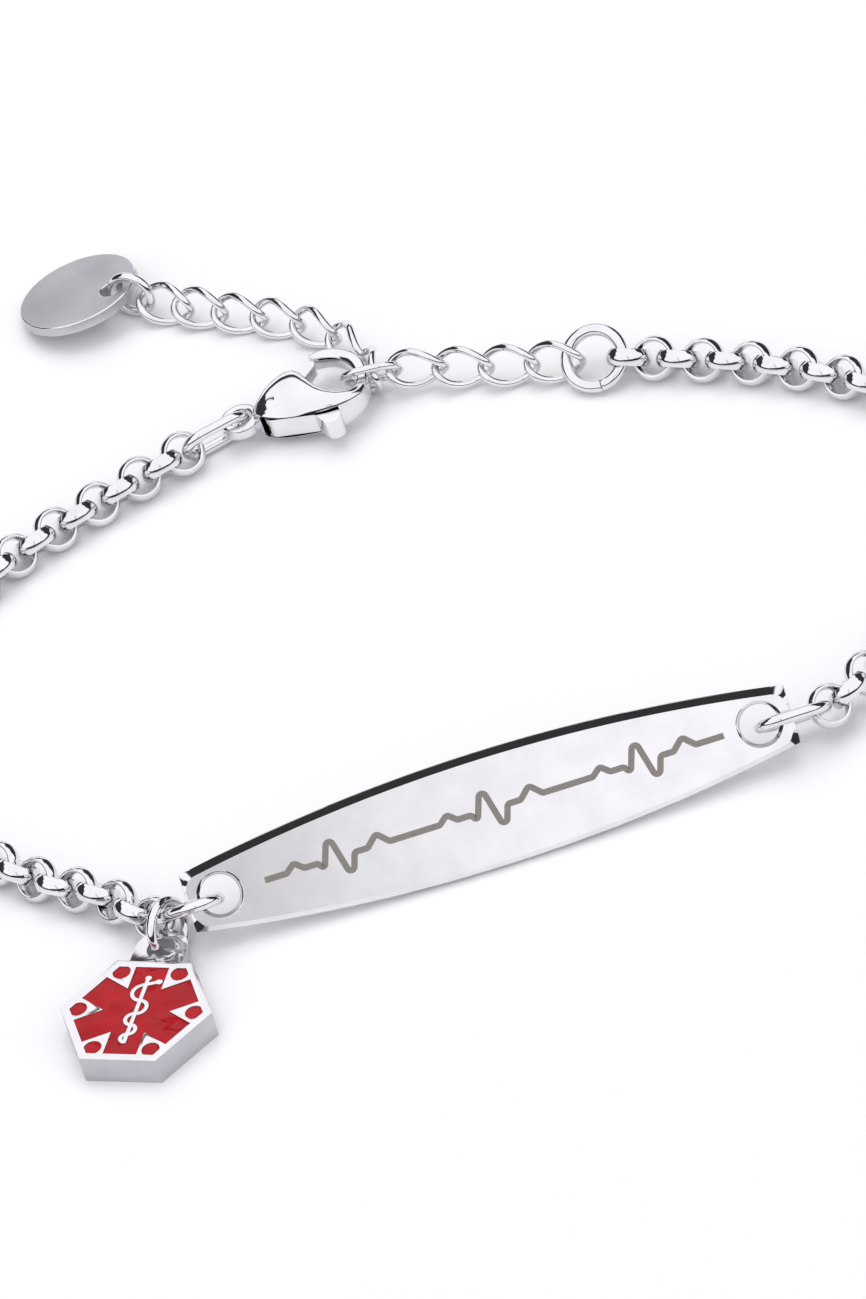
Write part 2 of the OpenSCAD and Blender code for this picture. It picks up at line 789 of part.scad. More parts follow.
// The charm's ring passes its bail and the left oval link
charm_ring_from_hole = [-3.85, -0.5, 2.1];
charm_ring_pos = by_hole(-1, charm_ring_from_hole);
charm_ring_turn = -39.5;
charm_ring_tip = 13;
charm_ring_normal = [cos(charm_ring_turn) * cos(charm_ring_tip), sin(charm_ring_turn) * cos(charm_ring_tip),
    sin(charm_ring_tip)];

module charm_ring() {
    color(steel)
        placed(charm_ring_pos, across([0, 0, 1], charm_ring_normal), charm_ring_normal)
            wire_ring(charm_ring_od, charm_ring_wire, 0);
}

// The whole part's middle, which is the origin
x_low = min(column(left_curve, 0)) - rolo_rest;
x_high = max(column(right_curve, 0)) + rolo_rest;
y_low = charm_pos[1] - charm_af / 2 / cos(30);
y_high = tag_pos[1] + tag_d / 2;
middle = [(x_low + x_high) / 2, (y_low + y_high) / 2, 0];

module laid() {
    translate(-middle)
        children();
}

laid() id_plate();
laid() plate_link_left();
laid() plate_link_right();
laid() rolo_chain_left();
laid() rolo_chain_right();
laid() end_ring();
laid() extension_chain();
laid() tail_chain();
laid() clasp_body();
laid() clasp_lever();
laid() clasp_pin();
laid() clasp_link();
laid() charm_body();
laid() charm_enamel();
laid() charm_ring();
laid() tag_disc();
laid() tag_ring();
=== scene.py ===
"""A medical alert bracelet of polished steel, lying closed on a white table.

The solids give every place: each chain link, ring and plate is found in its own solid and is made again
finer there, so nothing is placed by hand. Sizes in capitals are in millimetres, or metres once times MM.
"""
import json
import math

import bmesh
import bpy
import numpy as np
from mathutils import Matrix, Vector


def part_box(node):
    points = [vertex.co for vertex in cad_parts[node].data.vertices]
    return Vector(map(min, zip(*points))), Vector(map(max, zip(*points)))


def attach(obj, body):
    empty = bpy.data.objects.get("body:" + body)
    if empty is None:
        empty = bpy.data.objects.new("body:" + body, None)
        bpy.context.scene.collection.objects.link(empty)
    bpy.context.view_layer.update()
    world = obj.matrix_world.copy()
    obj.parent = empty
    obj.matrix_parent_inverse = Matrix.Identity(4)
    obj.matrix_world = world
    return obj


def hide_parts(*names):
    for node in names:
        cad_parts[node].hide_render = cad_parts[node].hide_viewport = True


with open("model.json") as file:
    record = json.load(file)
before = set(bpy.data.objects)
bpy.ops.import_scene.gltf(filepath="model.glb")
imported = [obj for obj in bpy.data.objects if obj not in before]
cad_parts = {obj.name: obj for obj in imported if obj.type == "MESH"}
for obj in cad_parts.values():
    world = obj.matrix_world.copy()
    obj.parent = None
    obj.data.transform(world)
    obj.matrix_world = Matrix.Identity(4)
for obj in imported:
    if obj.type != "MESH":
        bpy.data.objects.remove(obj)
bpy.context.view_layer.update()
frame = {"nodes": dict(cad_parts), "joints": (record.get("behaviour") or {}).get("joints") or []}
MM = 0.001

# Camera: a long lens from far off, tilted down and rolled; the image is 866 pixels wide and 1299 high
IMAGE_H = 1299
PIXELS_PER_MM = 15.3
LOOK_DOWN = math.radians(41)
ROLL = math.radians(17.5)
CAMERA_FAR = 2200 * MM
SENSOR = 36.0
# From the point on the table that the camera looks at to the middle of the plate
PLATE_FROM_AIM = Vector((0.4, -20.35, 0)) * MM


def add_object(name, data):
    """A new object in the scene for a mesh, a light or a camera."""
    thing = bpy.data.objects.new(name, data)
    bpy.context.scene.collection.objects.link(thing)
    return thing


def middle_of(node):
    """The middle of a node's box, in metres."""
    low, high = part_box(node)
    return (low + high) / 2


plate_middle = middle_of("id_plate")
aim = Vector((plate_middle.x, plate_middle.y, 0)) - PLATE_FROM_AIM
to_camera = Vector((0, -math.cos(LOOK_DOWN), math.sin(LOOK_DOWN)))
level_up = Vector((0, math.sin(LOOK_DOWN), math.cos(LOOK_DOWN)))
level_right = Vector((1, 0, 0))
right = math.cos(ROLL) * level_right - math.sin(ROLL) * level_up
up = math.sin(ROLL) * level_right + math.cos(ROLL) * level_up

camera_data = bpy.data.cameras.new("camera")
camera_data.sensor_width = SENSOR
camera_data.lens = PIXELS_PER_MM * SENSOR * (CAMERA_FAR / MM) / IMAGE_H
camera_data.clip_start = 50 * MM
camera = add_object("camera", camera_data)
turn = Matrix((right, up, to_camera)).transposed().to_4x4()
camera.matrix_world = Matrix.Translation(aim + CAMERA_FAR * to_camera) @ turn
bpy.context.scene.camera = camera


# Materials

# Real sizes of their patterns: the patches and the wave that tumbling leaves, the dents of blasted beads and
# the clouds that handling leaves on them, and the pooling and the swell of fired enamel
TUMBLED_PATCH, TUMBLED_WAVE = 2.2, 0.9
BEAD_DENT, HANDLED_CLOUD = 0.12, 3.0
ENAMEL_POOL, ENAMEL_SWELL = 1.6, 1.7
# Real acid pits are far finer, and are drawn this coarse so that they show
ACID_PIT = 0.15


def linear(hex_colour):
    """An sRGB hex colour as linear red, green, blue and alpha."""
    parts = [int(hex_colour[i:i + 2], 16) / 255 for i in (0, 2, 4)]
    return [p / 12.92 if p <= 0.04045 else ((p + 0.055) / 1.055) ** 2.4 for p in parts] + [1.0]


def add_node(tree, kind, settings=None, inputs=None, links=()):
    """Adds one node: its settings, the values of its inputs, and links as (from socket, input name)."""
    node = tree.nodes.new(kind)
    for name, value in (settings or {}).items():
        setattr(node, name, value)
    for name, value in (inputs or {}).items():
        node.inputs[name].default_value = value
    for socket, name in links:
        tree.links.new(socket, node.inputs[name])
    return node


def new_material(name, **shader):
    """A material with a Principled shader, its constant values on the shader's own sockets."""
    material = bpy.data.materials.new(name)
    material.use_nodes = True
    bsdf = material.node_tree.nodes["Principled BSDF"]
    for socket, value in shader.items():
        bsdf.inputs[socket.replace("_", " ")].default_value = value
    return material, material.node_tree, bsdf


def ramp(tree, source, stops):
    """A colour ramp over a value; stops are (place, hex colour or grey level)."""
    node = add_node(tree, "ShaderNodeValToRGB", links=[(source, "Fac")])
    bands = node.color_ramp.elements
    while len(bands) < len(stops):
        bands.new(0.5)
    for band, (place, colour) in zip(bands, stops):
        band.position = place
        band.color = linear(colour) if isinstance(colour, str) else [colour] * 3 + [1.0]
    return node.outputs["Color"]


def mirror_polished_steel(name, haze=0.045, wave=0.0):
    """Stainless steel, drawn or stamped and then tumbled with steel shot: it mirrors the room, with hair
    scratches that only show as a faint unevenness of the shine, and a slight wave where it was tumbled."""
    material, tree, bsdf = new_material(name, Metallic=1.0)
    place = add_node(tree, "ShaderNodeTexCoord").outputs["Object"]
    smears = add_node(tree, "ShaderNodeTexNoise",
                      inputs={"Scale": 1 / (TUMBLED_PATCH * MM), "Detail": 4.0},
                      links=[(place, "Vector")]).outputs["Fac"]
    tree.links.new(ramp(tree, smears, [(0.3, "e0dfe2"), (0.7, "ebeaec")]), bsdf.inputs["Base Color"])
    tree.links.new(ramp(tree, smears, [(0.35, haze), (0.75, haze * 1.9)]), bsdf.inputs["Roughness"])
    if wave:
        swell = add_node(tree, "ShaderNodeTexNoise",
                         inputs={"Scale": 1 / (TUMBLED_WAVE * MM), "Detail": 1.0},
                         links=[(place, "Vector")]).outputs["Fac"]
        bump = add_node(tree, "ShaderNodeBump", inputs={"Strength": wave, "Distance": 0.05 * MM},
                        links=[(swell, "Height")])
        tree.links.new(bump.outputs["Normal"], bsdf.inputs["Normal"])
    return material


def satin_steel(name):
    """Stainless steel blasted with fine beads: a soft grey sheen with a fine, even grain."""
    material, tree, bsdf = new_material(name, Metallic=1.0)
    place = add_node(tree, "ShaderNodeTexCoord").outputs["Object"]
    grain = add_node(tree, "ShaderNodeTexNoise", inputs={"Scale": 1 / (BEAD_DENT * MM), "Detail": 3.0},
                     links=[(place, "Vector")]).outputs["Fac"]
    cloud = add_node(tree, "ShaderNodeTexNoise",
                     inputs={"Scale": 1 / (HANDLED_CLOUD * MM), "Detail": 2.0},
                     links=[(place, "Vector")]).outputs["Fac"]
    tree.links.new(ramp(tree, cloud, [(0.3, "c3c2c7"), (0.7, "cfced2")]), bsdf.inputs["Base Color"])
    tree.links.new(ramp(tree, grain, [(0.3, 0.42), (0.7, 0.52)]), bsdf.inputs["Roughness"])
    bump = add_node(tree, "ShaderNodeBump", inputs={"Strength": 0.25, "Distance": 0.01 * MM},
                    links=[(grain, "Height")])
    tree.links.new(bump.outputs["Normal"], bsdf.inputs["Normal"])
    return material


def etched_steel(name):
    """Steel bitten matt by acid and darkened: a flat warm grey line on the polished plate."""
    material, tree, bsdf = new_material(name, Metallic=0.35)
    place = add_node(tree, "ShaderNodeTexCoord").outputs["Object"]
    bite = add_node(tree, "ShaderNodeTexNoise", inputs={"Scale": 1 / (ACID_PIT * MM), "Detail": 4.0},
                    links=[(place, "Vector")]).outputs["Fac"]
    tree.links.new(ramp(tree, bite, [(0.3, "85817c"), (0.7, "97928c")]), bsdf.inputs["Base Color"])
    tree.links.new(ramp(tree, bite, [(0.3, 0.55), (0.7, 0.75)]), bsdf.inputs["Roughness"])
    return material


def red_enamel(name):
    """Hard red enamel, fired and polished: a deep red under a wet gloss, a little uneven in its depth."""
    material, tree, bsdf = new_material(name, IOR=1.45, Specular_IOR_Level=0.25)
    place = add_node(tree, "ShaderNodeTexCoord").outputs["Object"]
    depth = add_node(tree, "ShaderNodeTexNoise",
                     inputs={"Scale": 1 / (ENAMEL_POOL * MM), "Detail": 3.0},
                     links=[(place, "Vector")]).outputs["Fac"]
    tree.links.new(ramp(tree, depth, [(0.3, "9c0611"), (0.7, "b40c18")]), bsdf.inputs["Base Color"])
    tree.links.new(ramp(tree, depth, [(0.3, 0.16), (0.7, 0.24)]), bsdf.inputs["Roughness"])
    swell = add_node(tree, "ShaderNodeTexNoise",
                     inputs={"Scale": 1 / (ENAMEL_SWELL * MM), "Detail": 1.0},
                     links=[(place, "Vector")]).outputs["Fac"]
    bump = add_node(tree, "ShaderNodeBump", inputs={"Strength": 1.0, "Distance": 0.25 * MM},
                    links=[(swell, "Height")])
    tree.links.new(bump.outputs["Normal"], bsdf.inputs["Normal"])
    return material


plate_steel = mirror_polished_steel("mirror_polished_steel_plate", haze=0.02)
link_steel = mirror_polished_steel("tumbled_steel_links", haze=0.05, wave=0.05)
cast_steel = mirror_polished_steel("cast_and_tumbled_steel", haze=0.06, wave=0.12)
charm_steel = mirror_polished_steel("die_struck_steel_charm", haze=0.1, wave=0.1)
charm_edge_steel = satin_steel("bead_blasted_steel_charm_edge")
tag_steel = satin_steel("bead_blasted_steel_tag")
trace_steel = etched_steel("acid_etched_steel")
enamel = red_enamel("hard_red_enamel")


# Finding each solid's place

def solid_labels(corners, count):
    """For each of a mesh's points a label that all the points of its solid share."""
    label = np.arange(count)
    while True:
        lowest = label[corners].min(axis=1)
        spread = label.copy()
        np.minimum.at(spread, corners.ravel(), np.repeat(lowest, 3))
        spread = spread[spread]
        if (spread == label).all():
            return label
        label = spread


def loose_solids(node):
    """Each separate solid of a node, as its middle and its long, middle and short axes in columns."""
    mesh = frame["nodes"][node].data
    mesh.calc_loop_triangles()
    points = np.empty(len(mesh.vertices) * 3)
    mesh.vertices.foreach_get("co", points)
    corners = np.empty(len(mesh.loop_triangles) * 3, int)
    mesh.loop_triangles.foreach_get("vertices", corners)
    # Points that agree to a tenth of a micrometre are one
    merged, merged_id = np.unique(points.reshape(-1, 3).round(7), axis=0, return_inverse=True)
    corners = merged_id.ravel()[corners].reshape(-1, 3)
    owner = solid_labels(corners, len(merged))[corners[:, 0]]
    found = []
    for solid in np.unique(owner):
        tri = merged[corners[owner == solid]]
        area = np.linalg.norm(np.cross(tri[:, 1] - tri[:, 0], tri[:, 2] - tri[:, 0]), axis=1)
        centre = (tri.mean(axis=1) * area[:, None]).sum(axis=0) / area.sum()
        tri = tri - centre
        total = tri.sum(axis=1)
        scatter = np.einsum("t,tki,tkj->ij", area, tri, tri)
        scatter += np.einsum("t,ti,tj->ij", area, total, total)
        axes = np.linalg.eigh(scatter)[1][:, ::-1]
        if np.linalg.det(axes) < 0:
            axes[:, 2] *= -1
        found.append((centre, axes))
    return found


# Shapes, each as points in millimetres round its own middle, and faces

def swept(centreline, radius, sides):
    """A closed loop of round wire along points that lie round the origin."""
    path = np.asarray(centreline)
    ahead = np.roll(path, -1, axis=0) - np.roll(path, 1, axis=0)
    ahead /= np.linalg.norm(ahead, axis=1)[:, None]
    out = path - (path * ahead).sum(axis=1)[:, None] * ahead
    out /= np.linalg.norm(out, axis=1)[:, None]
    rise = np.cross(ahead, out)
    angles = 2 * np.pi * np.arange(sides) / sides
    rings = (path[:, None] + radius * (np.cos(angles)[None, :, None] * out[:, None]
                                       + np.sin(angles)[None, :, None] * rise[:, None]))
    return rings.reshape(-1, 3), looped_faces(len(path), sides)


def looped_faces(around, sides):
    """Faces of rings of points that close on themselves both ways."""
    return [(i * sides + k, i * sides + (k + 1) % sides, (i + 1) % around * sides + (k + 1) % sides,
             (i + 1) % around * sides + k) for i in range(around) for k in range(sides)]


def turned_ring(section, steps):
    """A section, as (radius, height) pairs, turned about its own z."""
    angles = 2 * np.pi * np.arange(steps) / steps
    rings = [[(r * math.cos(a), r * math.sin(a), z) for r, z in section] for a in angles]
    return np.array(rings).reshape(-1, 3), looped_faces(steps, len(section))


def oval_line(length, width, wire, steps=24, straight_steps=9):
    """Middle line of an oval link with straight sides, from its outer length and width."""
    radius, half = (width - wire) / 2, (length - width) / 2
    line = []
    for side in (1, -1):
        for k in range(steps + 1):
            a = math.pi * (k / steps - 0.5) + (0 if side > 0 else math.pi)
            line.append((side * half + radius * math.cos(a), radius * math.sin(a), 0))
        line.extend((side * half * (1 - 2 * k / straight_steps), side * radius, 0)
                    for k in range(1, straight_steps))
    return line


def twisted_line(length, width, wire, turn, steps=72):
    """Middle line of an oval link whose ends are twisted apart by a turn in degrees."""
    line = []
    for k in range(steps):
        t = 2 * math.pi * k / steps
        roll = math.radians(turn / 2) * math.cos(t)
        reach = (width - wire) / 2 * math.sin(t)
        line.append(((length - wire) / 2 * math.cos(t), reach * math.cos(roll), reach * math.sin(roll)))
    return line


def circle_line(diameter, wire, steps=96):
    """Middle line of a round ring, from its outer diameter."""
    radius = (diameter - wire) / 2
    return [(radius * math.cos(2 * math.pi * k / steps), radius * math.sin(2 * math.pi * k / steps), 0)
            for k in range(steps)]


def oval_link(length, width, wire, sides=24):
    """An oval link of round wire, from its outer length and width."""
    return swept(oval_line(length, width, wire), wire / 2, sides)


def wire_ring(diameter, wire, sides=24):
    """A round ring of round wire, from its outer diameter."""
    return swept(circle_line(diameter, wire), wire / 2, sides)


def finish_piece(name, mesh, material, replaces=(), body="bracelet"):
    """A mesh as a piece of the bracelet, with its material, riding on its body."""
    mesh.materials.clear()
    mesh.materials.append(material)
    piece = add_object(name, mesh)
    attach(piece, body)
    if replaces:
        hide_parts(*replaces)
    return piece


def make_piece(name, points, faces, material, replaces=()):
    """A smooth piece from points in metres."""
    mesh = bpy.data.meshes.new(name)
    mesh.from_pydata([tuple(p) for p in points], [], faces)
    mesh.validate()
    mesh.shade_smooth()
    return finish_piece(name, mesh, material, replaces)


def made_on_solids(name, node, shape_of, material):
    """A piece in place of a node, with the points and faces of a shape put at every separate solid."""
    points, faces = [], []
    for centre, axes in loose_solids(node):
        shape_points, shape_faces = shape_of(centre)
        base = len(points)
        points.extend(centre + MM * (shape_points @ axes.T))
        faces.extend(tuple(base + k for k in face) for face in shape_faces)
    return make_piece(name, points, faces, material, [node])


def on_each_solid(name, node, shape, material):
    """The same shape made again at every separate solid of a node."""
    return made_on_solids(name, node, lambda centre: shape, material)


# Belcher chain: a band with a domed outside, a slightly domed inside and softly rounded rims
ROLO_OD, ROLO_WALL, ROLO_BAND = 3.06, 0.46, 1.15
ROLO_DOME, ROLO_INNER_DOME = 0.8, 2.0
# How far the rims are rounded outside and inside, and how far out and down the outer one's eased point is
ROLO_RIM, ROLO_INNER_RIM = 0.05, 0.03
ROLO_EASE_OUT, ROLO_EASE_DOWN = 0.02, 0.012


def rolo_section(steps=9):
    """Outline of the belcher link's band, as (radius, height)."""
    outer, inner = ROLO_OD / 2, ROLO_OD / 2 - ROLO_WALL
    heights = np.linspace(-ROLO_BAND / 2 + ROLO_RIM, ROLO_BAND / 2 - ROLO_RIM, steps)
    dome = [(outer - ROLO_DOME + math.sqrt(ROLO_DOME ** 2 - z * z), z) for z in heights]
    lining = [(inner + ROLO_INNER_DOME - math.sqrt(ROLO_INNER_DOME ** 2 - z * z), z)
              for z in heights[::-2]]
    top_out, top_in = dome[-1][0] - ROLO_RIM, lining[0][0] + ROLO_INNER_RIM
    edge, eased, eased_edge = ROLO_BAND / 2, top_out + ROLO_EASE_OUT, ROLO_BAND / 2 - ROLO_EASE_DOWN
    return dome + [(eased, eased_edge), (top_out, edge), (top_in, edge)] + lining + [
        (top_in, -edge), (top_out, -edge), (eased, -eased_edge)]


rolo_shape = turned_ring(rolo_section(), steps=72)
for side in ("left", "right"):
    on_each_solid("belcher_links_" + side, "rolo_chain_" + side, rolo_shape, link_steel)

# Twisted wire links of the extension; the one on the clasp's hook is a plain oval of the same wire
TWIST_LEN, TWIST_W, TWIST_WIRE, TWIST_TURN = 4.35, 3.0, 0.52, 84
TWIST_SIDES = 20
twist_line = twisted_line(TWIST_LEN, TWIST_W, TWIST_WIRE, TWIST_TURN)
twist_shape = swept(twist_line, TWIST_WIRE / 2, TWIST_SIDES)
hooked_shape = oval_link(TWIST_LEN, TWIST_W, TWIST_WIRE, TWIST_SIDES)
on_each_solid("tail_links", "tail_chain", twist_shape, link_steel)


def extension_links():
    """Twisted links but for the one nearest the clasp's hook, which is flat."""
    hooked_x = min(centre[0] for centre, axes in loose_solids("extension_chain"))
    return made_on_solids("extension_links", "extension_chain",
                          lambda centre: hooked_shape if centre[0] == hooked_x else twist_shape,
                          link_steel)


extension_links()

# Oval links and round rings of wire
OVAL_LEN, OVAL_W, OVAL_WIRE = 5.4, 3.9, 0.8
CLASP_LINK_LEN, CLASP_LINK_W, CLASP_LINK_WIRE = 5.2, 3.3, 0.74
CHARM_RING_OD, CHARM_RING_WIRE = 4.3, 0.68
TAG_RING_OD, TAG_RING_WIRE = 3.5, 0.62
for side in ("left", "right"):
    plate_link_shape = oval_link(OVAL_LEN, OVAL_W, OVAL_WIRE)
    on_each_solid("oval_link_" + side, "plate_link_" + side, plate_link_shape, link_steel)
clasp_link_shape = oval_link(CLASP_LINK_LEN, CLASP_LINK_W, CLASP_LINK_WIRE)
on_each_solid("clasp_oval_link", "clasp_link", clasp_link_shape, link_steel)
on_each_solid("charm_jump_ring", "charm_ring", wire_ring(CHARM_RING_OD, CHARM_RING_WIRE), link_steel)
on_each_solid("tag_jump_ring", "tag_ring", wire_ring(TAG_RING_OD, TAG_RING_WIRE), link_steel)

# Nodes whose shape is right keep it and get softened edges and a finish; real edges stay sharp
SHARP_ANGLE = math.radians(28)
# Points that are closer than this become one, and so do faces that meet at less than this angle
WELD, FLAT_ANGLE = 0.002 * MM, math.radians(1.0)


def softened(name, node, material, width, segments=3, body="bracelet"):
    """The node's own shape with its sharp edges rounded over by a width in millimetres."""
    mesh = frame["nodes"][node].data.copy()
    shape = bmesh.new()
    shape.from_mesh(mesh)
    bmesh.ops.remove_doubles(shape, verts=shape.verts, dist=WELD)
    bmesh.ops.dissolve_limit(shape, angle_limit=FLAT_ANGLE, verts=shape.verts, edges=shape.edges)
    shape.to_mesh(mesh)
    shape.free()
    piece = finish_piece(name, mesh, material, [node], body)
    mesh.shade_smooth()
    bevel = piece.modifiers.new("rounded_edges", "BEVEL")
    bevel.width = width * MM
    bevel.segments = segments
    bevel.limit_method = "ANGLE"
    bevel.angle_limit = SHARP_ANGLE
    bevel.use_clamp_overlap = True
    bevel.harden_normals = True
    return piece


def polished_rim(piece, material):
    """Gives the rounded edges a second material."""
    piece.data.materials.append(material)
    piece.modifiers["rounded_edges"].material = 1


def matt_walls(piece, material, steep=0.3):
    """Gives the faces that stand upright a second material; steep is how far up such a face may look."""
    piece.data.materials.append(material)
    for face in piece.data.polygons:
        if abs(face.normal.z) < steep:
            face.material_index = 1


softened("end_split_ring", "end_ring", link_steel, width=0.02)
polished_rim(softened("round_tag", "tag_disc", tag_steel, width=0.08), link_steel)
matt_walls(softened("hexagon_charm", "charm_body", charm_steel, width=0.1), charm_edge_steel)
softened("charm_red_enamel", "charm_enamel", enamel, width=0.04)
softened("trigger_lever", "clasp_lever", cast_steel, width=0.22, segments=5, body="lever")
softened("clasp_rivet", "clasp_pin", cast_steel, width=0.05)

# Identity plate

# A lens of steel whose face is very slightly crowned, with a bevel ground round it that is steep along the
# upper edge and easy below, and holes with rounded lips
PLATE_LEN, PLATE_MID, PLATE_END, PLATE_T = 41.1, 7.6, 3.9, 1.0
PLATE_LEAN = math.radians(52)
PLATE_HOLE_D, PLATE_HOLE_IN = 2.6, 2.2
# How wide and how deep the lips of the holes are, and their curve as (share out, share down)
HOLE_LIP, HOLE_LIP_DEEP = 0.25, 0.43
LIP_CURVE = [(0.0, 1.0), (0.1, 0.86), (0.8, 0.16), (0.93, 0.04), (1.12, 0.0)]
# How far the holes' cutter reaches past the plate, and how much wider it is there
HOLE_CUT_PAST, HOLE_CUT_WIDER = 0.3, 0.01
# How far in the face's edge lies at the upper edge, the lower edge and the ends, and its corner's radius
PLATE_INSET, PLATE_LOW_INSET, PLATE_END_INSET, FACE_CORNER = 0.5, 0.34, 0.15, 1.0
# Drop of the crowned face at its ends, and the share of it at its long edges
PLATE_CROWN, CROWN_ACROSS = 0.1, 0.3
PLATE_BACK_EDGE = 0.12
TAPER = PLATE_MID - PLATE_END
ARC_R = (PLATE_LEN ** 2 + TAPER ** 2) / 4 / TAPER
ARC_Y = PLATE_MID / 2 - ARC_R
# Bevel angle from the face by the way the edge looks, in degrees from the plate's end up or down
BEVEL_WAYS = [-90, -45, -20, 0, 20, 45, 60, 90]
BEVEL_ANGLES = [45, 24, 27, 38, 44, 56, 61, 62]
# The lower edge's inset comes in between these ways
LOW_STARTS, LOW_FULL = -45, -75
# Second, steeper facet along the upper edge: its share of the inset, its angle, and where it comes in
SECOND_SHARE, SECOND_ANGLE, SECOND_WAYS = 0.06, 77, (45, 70)
# The deepest that each facet goes, and how round the edges between them are
FIRST_DEEPEST, SECOND_DEEPEST, FACET_EASE = 0.88, 0.92, 0.03
# The drop of the bevel's first eased point, the share out of its last, and the drop past that at the rim
FIRST_EASE_DROP, LAST_EASE_OUT, RIM_DROP = 0.008, 0.96, 0.01


def crown(x, y):
    """How far the crowned face lies below its middle."""
    return PLATE_CROWN * ((x / (PLATE_LEN / 2)) ** 2 + CROWN_ACROSS * (y / (PLATE_MID / 2)) ** 2)


def plate_quarter(edge_steps=40, corner_steps=12):
    """Outline of the face and of the plate, from the middle of the upper edge to that of the right end."""
    corner_x = PLATE_LEN / 2 - PLATE_END_INSET - FACE_CORNER
    corner_y = ARC_Y + math.sqrt((ARC_R - PLATE_INSET - FACE_CORNER) ** 2 - corner_x ** 2)
    turn = math.atan2(corner_x, corner_y - ARC_Y)
    pairs = []
    for k in range(edge_steps + 1):
        a = turn * k / edge_steps
        way = np.array([math.sin(a), math.cos(a)])
        pairs.append(((0, ARC_Y) + (ARC_R - PLATE_INSET) * way, (0, ARC_Y) + ARC_R * way))
    outer_corner = math.atan2(PLATE_END / 2 - corner_y, PLATE_LEN / 2 - corner_x)
    angles = np.concatenate([np.linspace(math.pi / 2 - turn, outer_corner, corner_steps)[1:],
                             np.linspace(outer_corner, 0, corner_steps)[1:]])
    middle = np.array([corner_x, corner_y])
    for a in angles:
        way = np.array([math.cos(a), math.sin(a)])
        if a > outer_corner + 1e-9:
            rel = middle - (0, ARC_Y)
            along = rel @ way
            reach = -along + math.sqrt(along ** 2 + ARC_R ** 2 - rel @ rel)
        else:
            reach = (PLATE_LEN / 2 - corner_x) / way[0]
        pairs.append((middle + FACE_CORNER * way, middle + reach * way))
    return pairs


def bevel_column(inner, outer):
    """Points from the face's edge down the bevel and under to the back, at one place on the rim."""
    way = outer - inner
    slope = math.degrees(math.atan2(way[1], abs(way[0])))
    low = np.interp(slope, [LOW_FULL, LOW_STARTS], [1, 0])
    inner = outer - way * (1 - low * (1 - PLATE_LOW_INSET / PLATE_INSET))
    way = outer - inner
    reach = np.linalg.norm(way)
    first = math.radians(np.interp(slope, BEVEL_WAYS, BEVEL_ANGLES))
    second = math.radians(np.interp(slope, SECOND_WAYS, [math.degrees(first), SECOND_ANGLE]))
    first_drop = min(FIRST_DEEPEST, (1 - SECOND_SHARE) * reach * math.tan(first))
    second_drop = min(SECOND_DEEPEST, first_drop + SECOND_SHARE * reach * math.tan(second))
    between = 1 - SECOND_SHARE
    profile = [(0.0, 0.0), (FACET_EASE, FIRST_EASE_DROP), (between - FACET_EASE, first_drop - FACET_EASE),
               (between, first_drop), (LAST_EASE_OUT, second_drop - FACET_EASE),
               (1.0, second_drop + RIM_DROP)]
    column = []
    for share, drop in profile:
        x, y = inner + way * share
        column.append((x, y, PLATE_T / 2 - max(drop, 0) - crown(*inner) * (1 - share)))
    back = outer - way * min(1.0, PLATE_BACK_EDGE / reach)
    column.append((outer[0], outer[1], -PLATE_T / 2 + PLATE_BACK_EDGE / 2))
    column.append((back[0], back[1], -PLATE_T / 2))
    return column


def plate_side(points, edge, columns, across, top):
    """Quads of the face or the back; it adds the points inside the edge, whose points are found by place."""
    index = dict(edge)
    for j in range(1, across):
        for i in range(1, columns - 1):
            low, high = points[edge[0, i]], points[edge[across, i]]
            x, y = low[0], low[1] + (high[1] - low[1]) * j / across
            index[j, i] = len(points)
            points.append((x, y, PLATE_T / 2 - crown(x, y) if top else -PLATE_T / 2))
    quads = [(index[j, i], index[j, i + 1], index[j + 1, i + 1], index[j + 1, i])
             for j in range(across) for i in range(columns - 1)]
    return quads if top else [quad[::-1] for quad in quads]


def plate_mesh(across=12):
    """The plate without its holes, in its own frame: its length along x, up the slope y, its face to z."""
    quarter = plate_quarter()
    upper = [(np.array([-p[0], p[1]]), np.array([-q[0], q[1]])) for p, q in quarter[:0:-1]] + quarter
    columns = len(upper)
    rim = [(0, i) for i in range(columns)] + [(j, columns - 1) for j in range(1, across)]
    rim += [(across, i) for i in reversed(range(columns))] + [(j, 0) for j in range(across - 1, 0, -1)]
    points, faces = [], []
    for j, i in rim:
        inner, outer = (place * (1, 2 * j / across - 1) for place in upper[i])
        points.extend(bevel_column(inner, outer))
    count, steps = len(rim), len(points) // len(rim)
    for n in range(count):
        for k in range(steps - 1):
            a, b = n * steps + k, (n + 1) % count * steps + k
            faces.append((a, a + 1, b + 1, b))
    for top, step in ((True, 0), (False, steps - 1)):
        edge = {place: n * steps + step for n, place in enumerate(rim)}
        faces += plate_side(points, edge, columns, across, top)
    return points, faces


def in_frame(points, middle, x_axis, z_axis):
    """Points in millimetres in a piece's own frame, as places in metres."""
    z_axis = np.array(z_axis) / np.linalg.norm(z_axis)
    x_axis = np.array(x_axis) - (np.array(x_axis) @ z_axis) * z_axis
    x_axis = x_axis / np.linalg.norm(x_axis)
    axes = np.array([x_axis, np.cross(z_axis, x_axis), z_axis])
    return np.array(middle) + MM * (np.array(points, float) @ axes)


def helper(name, points, faces):
    """A mesh that only shapes another one and is deleted after."""
    mesh = bpy.data.meshes.new(name)
    shape = bmesh.new()
    corners = [shape.verts.new(p) for p in points]
    for face in faces:
        shape.faces.new([corners[k] for k in face])
    bmesh.ops.recalc_face_normals(shape, faces=shape.faces)
    shape.to_mesh(mesh)
    shape.free()
    return add_object(name, mesh)


